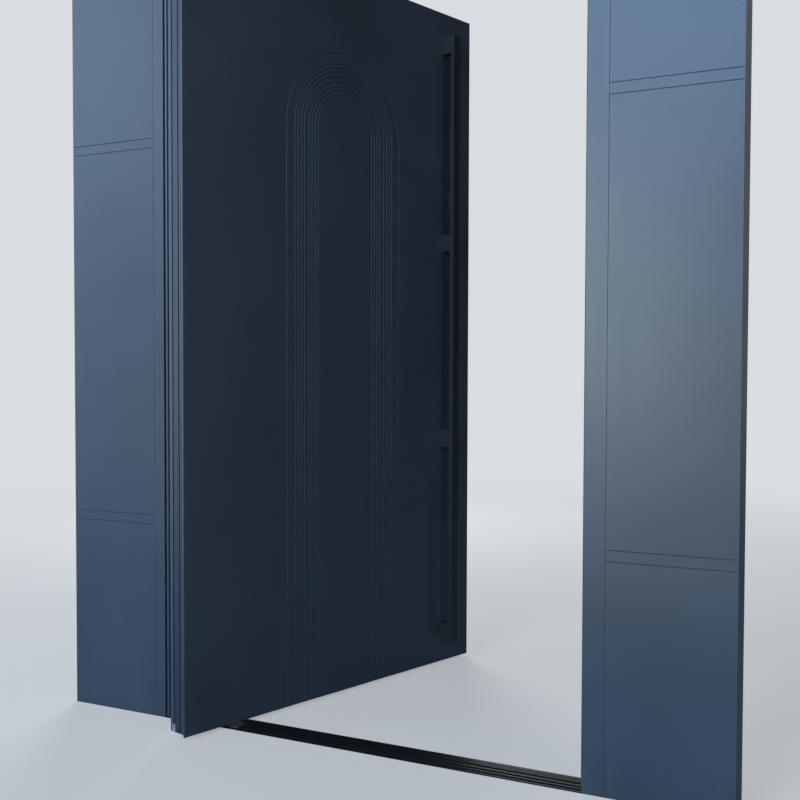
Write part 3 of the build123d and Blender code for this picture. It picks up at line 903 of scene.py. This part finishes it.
@dataclass
class Fixings:
    """Screws of the strikes, the faceplate, the pivot plates, the threshold and the bars' blocks.

    Args:
        dressing: what dresses the new pieces.
        leaf: the leaf's coordinates.
        strike_tall: height of one strike plate.
        strike_pitch: distance of its two screws.
        faceplate_pitch: largest distance of the faceplate's screws.
        plate_inset: distance of a screw from the end of its plate.
        pivot_spread: distance of a pivot plate's screws from its middle, as a factor on the inset.
        floor_plate_top: height of the floor pivot's plate.
        head_plate_thick: thickness of the head pivot's plate.
        threshold_pitch: distance of the threshold's screws.
        threshold_groove: their distance from its front, and height.
        block_height: height of a pull bar's block.
        block_count: blocks on a bar.
        screw: the screw of plates.
        small: the screw of the faceplate and the threshold.
        grub: the screw of the blocks.
    """

    dressing: Dressing
    leaf: LeafSpace
    strike_tall: float = 0.090
    strike_pitch: float = 0.070
    faceplate_pitch: float = 0.300
    plate_inset: float = 0.022
    pivot_spread: float = 0.64
    floor_plate_top: float = 0.008
    head_plate_thick: float = 0.006
    threshold_pitch: float = 0.250
    threshold_groove: tuple[float, float] = (0.035, 0.004)
    block_height: float = 0.085
    block_count: int = 4
    screw: SocketScrew = field(default_factory=lambda: SocketScrew(0.010, 0.0035))
    small: SocketScrew = field(default_factory=lambda: SocketScrew(0.0085, 0.003))
    grub: SocketScrew = field(
        default_factory=lambda: SocketScrew(0.006, 0.003, proud=0.0002, edge=0.0003)
    )

    def build(self) -> None:
        """Builds and places every set of screws."""
        self.strikes()
        self.faceplate()
        self.pivot_plates()
        self.threshold()
        self.blocks("outer")
        self.blocks("inner")

    def strikes(self) -> None:
        """Two screws above and below each strike's hole."""
        low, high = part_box("strike_plates")
        middle = (low.y + high.y) / 2
        tall = self.strike_tall
        mesh = frame["nodes"]["strike_plates"].data
        heights = np.array([v.co.z for v in mesh.vertices])
        between = heights[(heights > low.z + 2 * tall) & (heights < high.z - 2 * tall)]
        main = (between.min() + between.max()) / 2
        seats = []
        for centre in (low.z + tall / 2, main, high.z - tall / 2):
            for side in (-0.5, 0.5):
                seats.append((low.x, middle, centre + side * self.strike_pitch))
        piece = arrayed("strike_screws", self.screw, np.array(seats), Vector((-1, 0, 0)))
        self.dressing.add(piece, Body.FRAME, Slot.STEEL)

    def faceplate(self) -> None:
        """A row of screws down the lock faceplate."""
        low, high = self.leaf.reach("lock_faceplate")
        count = int((high.z - low.z) / self.faceplate_pitch)
        step = (high.z - low.z - 2 * self.plate_inset) / count
        heights = low.z + self.plate_inset + np.arange(count + 1) * step
        seats = self.leaf.out(column(high.x, (low.y + high.y) / 2, heights))
        way = self.leaf.way(Vector((1, 0, 0)))
        piece = arrayed("faceplate_screws", self.small, seats, way)
        self.dressing.add(piece, Body.LEAF, Slot.STEEL)

    def pivot_plates(self) -> None:
        """Four screws in each pivot plate."""
        spread = self.pivot_spread * self.plate_inset
        for node, up in (("floor_pivot", 1), ("head_pivot", -1)):
            low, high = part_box(node)
            face = self.floor_plate_top if up > 0 else high.z - self.head_plate_thick
            across = (low.y + high.y) / 2
            seats = []
            for x in (low.x + self.plate_inset, high.x - self.plate_inset):
                for side in (-spread, spread):
                    seats.append((x, across + side, face))
            piece = arrayed(f"{node}_screws", self.screw, np.array(seats), Vector((0, 0, up)))
            self.dressing.add(piece, Body.FRAME, Slot.STEEL)

    def threshold(self) -> None:
        """A row of black screws in the threshold's front groove, clear of the pivot's plate."""
        low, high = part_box("threshold")
        plate_low, plate_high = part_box("floor_pivot")
        across, level = self.threshold_groove
        ends = (low.x + self.threshold_pitch / 2, high.x - self.threshold_pitch / 2)
        count = round((ends[1] - ends[0]) / self.threshold_pitch)
        along = np.linspace(ends[0], ends[1], count + 1)
        before = along < plate_low.x - self.plate_inset
        behind = along > plate_high.x + self.plate_inset
        along = along[before | behind]
        seats = np.stack([along, 0 * along + low.y + across, 0 * along + level], axis=1)
        piece = arrayed("threshold_screws", self.small, seats, Vector((0, 0, 1)))
        self.dressing.add(piece, Body.FRAME, Slot.SILL)

    def blocks(self, side: str) -> None:
        """One grub screw in the underside of each block of a pull bar.

        Args:
            side: outer or inner.
        """
        low, high = self.leaf.reach(f"{side}_pull_brackets")
        heights = np.linspace(low.z, high.z - self.block_height, self.block_count)
        seats = self.leaf.out(column((low.x + high.x) / 2, (low.y + high.y) / 2, heights))
        piece = arrayed(f"{side}_pull_grub_screws", self.grub, seats, Vector((0, 0, -1)))
        self.dressing.add(piece, Body.LEAF, Slot.HANDLE)


@dataclass(frozen=True)
class Softbox:
    """A large soft rectangle of light, aimed at a point of the unit.

    Args:
        name: the lamp's name.
        middle: its centre.
        aim: the point that it faces.
        wide: width in metres.
        high: height in metres.
        level: radiance of its face.
        colour: tint of its light.
    """

    name: str
    middle: tuple[float, float, float]
    aim: tuple[float, float, float]
    wide: float
    high: float
    level: float
    colour: tuple[float, float, float]

    def build(self) -> None:
        """Makes the lamp. Its power is its radiance times its area times pi."""
        lamp = bpy.data.lights.new(self.name, "AREA")
        lamp.shape = "RECTANGLE"
        lamp.size = self.wide
        lamp.size_y = self.high
        lamp.energy = self.level * self.wide * self.high * math.pi
        lamp.color = self.colour
        held = bpy.data.objects.new(self.name, lamp)
        held.visible_camera = False
        held.location = self.middle
        held.rotation_mode = "QUATERNION"
        held.rotation_quaternion = (Vector(self.aim) - Vector(self.middle)).to_track_quat("-Z", "Y")
        bpy.context.scene.collection.objects.link(held)


BOXES = (
    Softbox("street_softbox", (-0.6, -8.6, 6.2), (1.0, 0.0, 2.2), 3.6, 3.6, 8.5, (0.34, 0.62, 1.0)),
    Softbox(
        "left_high_softbox", (-8.8, -8.6, 6.4), (-1.0, 0.0, 2.2), 4.0, 4.0, 3.6, (0.46, 0.70, 1.0)
    ),
    Softbox(
        "horizon_softbox", (-2.6, -9.4, 2.5), (0.2, 0.0, 1.8), 3.6, 3.6, 7.6, (0.78, 0.92, 1.0)
    ),
    Softbox(
        "ground_softbox",
        (-0.8, -11.6, 0.02),
        (-0.8, -11.6, 5.0),
        4.4,
        16.8,
        0.72,
        (1.0, 0.74, 0.56),
    ),
    Softbox("left_softbox", (-9.0, -4.8, 3.4), (-0.8, 0.0, 1.6), 4.5, 5.0, 1.8, (0.35, 0.68, 1.0)),
    Softbox("high_softbox", (0.6, -2.7, 5.8), (0.4, 0.0, 2.4), 2.4, 1.2, 0.6, (1.0, 1.0, 1.0)),
    Softbox("right_softbox", (6.5, -3.0, 3.0), (0.0, 0.6, 1.7), 7.0, 5.0, 1.02, (0.80, 0.88, 0.84)),
    Softbox("back_softbox", (-4.5, 7.0, 4.5), (-0.2, 0.0, 1.6), 4.0, 4.0, 8.0, (0.85, 0.93, 1.0)),
)


@dataclass
class Studio:
    """Pale floor and surround, with soft light from the street and a fill from behind.

    Args:
        floor_reach: half the floor's side.
        pale: the surround as the eye sees it.
        floor_seen: the floor's colour to the eye.
        floor_gloss: its colour in reflections.
        floor_bounce: its colour in light that bounces.
        fade_start: distance at which the floor starts to go over into the surround.
        fade_end: distance at which it has.
        floor_lift: share of the surround's own tone that the floor has everywhere to the eye.
        sky: the weak sky's tint.
        sky_level: its level on the opening's left.
        bright_way: where it is brightest.
        bright_level: its level there.
        shade_way: the opening's shaded side.
        shade_level: the surround's level there in reflections.
        boxes: the lamps.
    """

    floor_reach: float = 60.0
    pale: tuple[float, float, float] = (0.70, 0.72, 0.75)
    floor_seen: tuple[float, float, float] = (0.97, 0.90, 0.83)
    floor_gloss: tuple[float, float, float] = (0.22, 0.29, 0.39)
    floor_bounce: tuple[float, float, float] = (0.05, 0.08, 0.12)
    fade_start: float = 2.5
    fade_end: float = 11.0
    floor_lift: float = 0.50
    sky: tuple[float, float, float] = (0.62, 0.78, 1.0)
    sky_level: float = 0.02
    bright_way: tuple[float, float, float] = (0.96, -0.28, 0.0)
    bright_level: float = 0.03
    shade_way: tuple[float, float, float] = (0.88, 0.47, 0.0)
    shade_level: float = 0.02
    boxes: tuple[Softbox, ...] = BOXES

    def build(self) -> None:
        """Makes the floor, the surround and the lamps."""
        self.floor()
        self.surround()
        for box in self.boxes:
            box.build()
        bpy.context.scene.view_settings.view_transform = "Standard"

    def rays(self, s: Shader) -> tuple[Wire, Wire]:
        """Which rays see the surface.

        Args:
            s: the tree.

        Returns:
            1 for camera rays, and 1 for glossy and transmission rays.
        """
        eye = s.node("ShaderNodeLightPath", out="Is Camera Ray")
        outputs = eye.socket.node.outputs
        glossy = Wire(s, outputs["Is Glossy Ray"])
        return eye, glossy.above(Wire(s, outputs["Is Transmission Ray"]))

    def shaded(self, s: Shader, way: Wire) -> Wire:
        """1 towards the opening's shaded side, by a unit vector from the unit."""
        return s.ramp(s.dot(way, self.shade_way), 0.25, 0.85)

    def floor(self) -> None:
        """One large level sheet, pale to the eye and darker to bounced light.

        It takes the object's shadow near the unit. To the eye and in gloss it goes over, with its
        distance from the unit, into the surround's own tone, so that no edge shows.
        """
        corners = np.array([(-1, -1, 0), (1, -1, 0), (1, 1, 0), (-1, 1, 0)])
        sheet = grid_mesh("floor", corners * self.floor_reach, np.array([[0, 1, 2, 3]]))
        s = Shader("pale_floor")
        eye, gloss = self.rays(s)
        tone = s.blend(gloss, shade(self.floor_bounce), shade(self.floor_gloss))
        tone = s.blend(eye, tone, shade(self.floor_seen))
        lit = s.surface(Base_Color=tone, Roughness=0.9, Specular_IOR_Level=0.1)
        at = s.place()
        far = s.node("ShaderNodeVectorMath", {"operation": "LENGTH"}, {0: at}, out="Value")
        way = s.node("ShaderNodeVectorMath", {"operation": "NORMALIZE"}, {0: at})
        fade = s.ramp(far, self.fade_start, self.fade_end)
        to_eye = self.floor_lift + (1.0 - self.floor_lift) * fade
        in_gloss = fade * (1.0 - self.shaded(s, way))
        glow = s.node("ShaderNodeEmission", None, {"Color": shade(self.pale)})
        own = to_eye * eye + in_gloss * gloss
        s.end(s.node("ShaderNodeMixShader", None, {0: own, 1: lit, 2: glow}))
        sheet.data.materials.append(s.owner)

    def surround(self) -> None:
        """Pale surround to the eye and in gloss, shaded on one side, and a weak sky to the rest."""
        world = bpy.data.worlds.new("surround")
        bpy.context.scene.world = world
        s = Shader(world)
        way = s.node("ShaderNodeTexCoord", out="Generated")
        eye, gloss = self.rays(s)
        weak = lighter(self.sky, self.sky_level)
        bright = lighter(self.sky, self.bright_level)
        soft = s.blend(s.ramp(s.dot(way, self.bright_way), 0.1, 1.0), weak, bright)
        shiny = s.blend(self.shaded(s, way), shade(self.pale), lighter(self.sky, self.shade_level))
        level = s.blend(eye, s.blend(gloss, soft, shiny), shade(self.pale))
        s.end(s.node("ShaderNodeBackground", None, {"Color": level, "Strength": 1.0}))


@dataclass
class StreetCamera:
    """The photograph's viewpoint, at a standing person's eye height, right of the unit.

    Args:
        place: the camera's place.
        yaw: its turn to the left, in degrees.
        pitch: its tilt upwards.
        roll: its turn about its own axis.
        lens: focal length in millimetres.
        sensor: the sensor's width in millimetres.
        rise: shift of the picture upwards, as a share of its width.
    """

    place: tuple[float, float, float] = (1.9316, -3.5982, 1.4554)
    yaw: float = 26.301
    pitch: float = -1.873
    roll: float = 0.164
    lens: float = 47.568
    sensor: float = 36.0
    rise: float = 0.01074

    def build(self) -> None:
        """Makes the camera and gives it to the scene."""
        data = bpy.data.cameras.new("street_camera")
        data.lens = self.lens
        data.sensor_width = self.sensor
        data.sensor_fit = "AUTO"
        data.shift_y = self.rise
        held = bpy.data.objects.new("street_camera", data)
        turn = Matrix.Rotation(math.radians(self.yaw), 4, "Z")
        turn @= Matrix.Rotation(math.radians(90 + self.pitch), 4, "X")
        turn @= Matrix.Rotation(math.radians(self.roll), 4, "Z")
        held.matrix_world = Matrix.Translation(self.place) @ turn
        bpy.context.scene.collection.objects.link(held)
        bpy.context.scene.camera = held


def main() -> None:
    """Builds the scene in order."""
    logging.basicConfig(level=logging.INFO, format="%(name)s: %(message)s")
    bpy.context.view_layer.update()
    leaf = LeafSpace()
    finishes = Finishes()
    dressing = Dressing(finishes.make(), finishes.skins(leaf))
    dressing.dress_all()
    Fixings(dressing, leaf).build()
    Studio().build()
    StreetCamera().build()
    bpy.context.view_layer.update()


if __name__ == "__main__":
    main()
